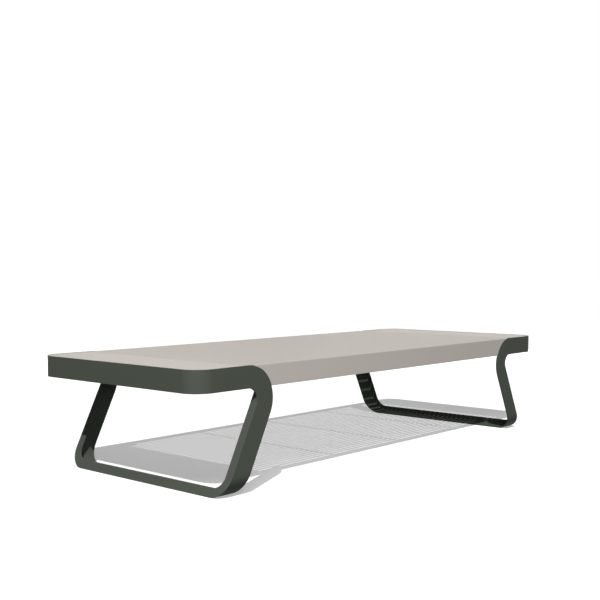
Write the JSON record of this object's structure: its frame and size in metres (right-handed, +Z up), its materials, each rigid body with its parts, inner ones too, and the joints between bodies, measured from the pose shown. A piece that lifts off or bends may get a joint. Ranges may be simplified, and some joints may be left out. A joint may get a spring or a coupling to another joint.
{
  "type": "wide backless bench",
  "caption": "Low, wide backless bench with a slotted sheet-metal seat held between bent-plate end frames whose leaning loop legs stand on flat floor runners.",
  "frame": {"origin": "on the floor under the middle of the seat", "axes": "+X along the seat to the right end, +Y across the seat to the rear, +Z up"},
  "size_m": [2.28, 0.885, 0.45],
  "materials": {
    "frame_paint": "satin green-grey powder coat",
    "seat_paint": "matte beige-grey powder coat",
    "zinc_steel": "zinc plated"
  },
  "bodies": {
    "root": {"left_end_band": "frame_paint", "left_front_leg_plate": "frame_paint", "left_front_leg_flange": "frame_paint", "left_rear_leg_plate": "frame_paint", "left_rear_leg_flange": "frame_paint", "left_runner": "frame_paint", "left_runner_flange": "frame_paint", "left_cross_beam": "frame_paint", "left_seat_cleat_1": "frame_paint", "left_seat_cleat_2": "frame_paint", "left_seat_cleat_3": "frame_paint", "left_seat_studs": "zinc_steel", "left_seat_nuts": "zinc_steel", "right_end_band": "frame_paint", "right_front_leg_plate": "frame_paint", "right_front_leg_flange": "frame_paint", "right_rear_leg_plate": "frame_paint", "right_rear_leg_flange": "frame_paint", "right_runner": "frame_paint", "right_runner_flange": "frame_paint", "right_cross_beam": "frame_paint", "right_seat_cleat_1": "frame_paint", "right_seat_cleat_2": "frame_paint", "right_seat_cleat_3": "frame_paint", "right_seat_studs": "zinc_steel", "right_seat_nuts": "zinc_steel", "seat_panel": "seat_paint", "seat_rib_1": "seat_paint", "seat_rib_2": "seat_paint", "seat_rib_3": "seat_paint"}
  },
  "joints": []
}
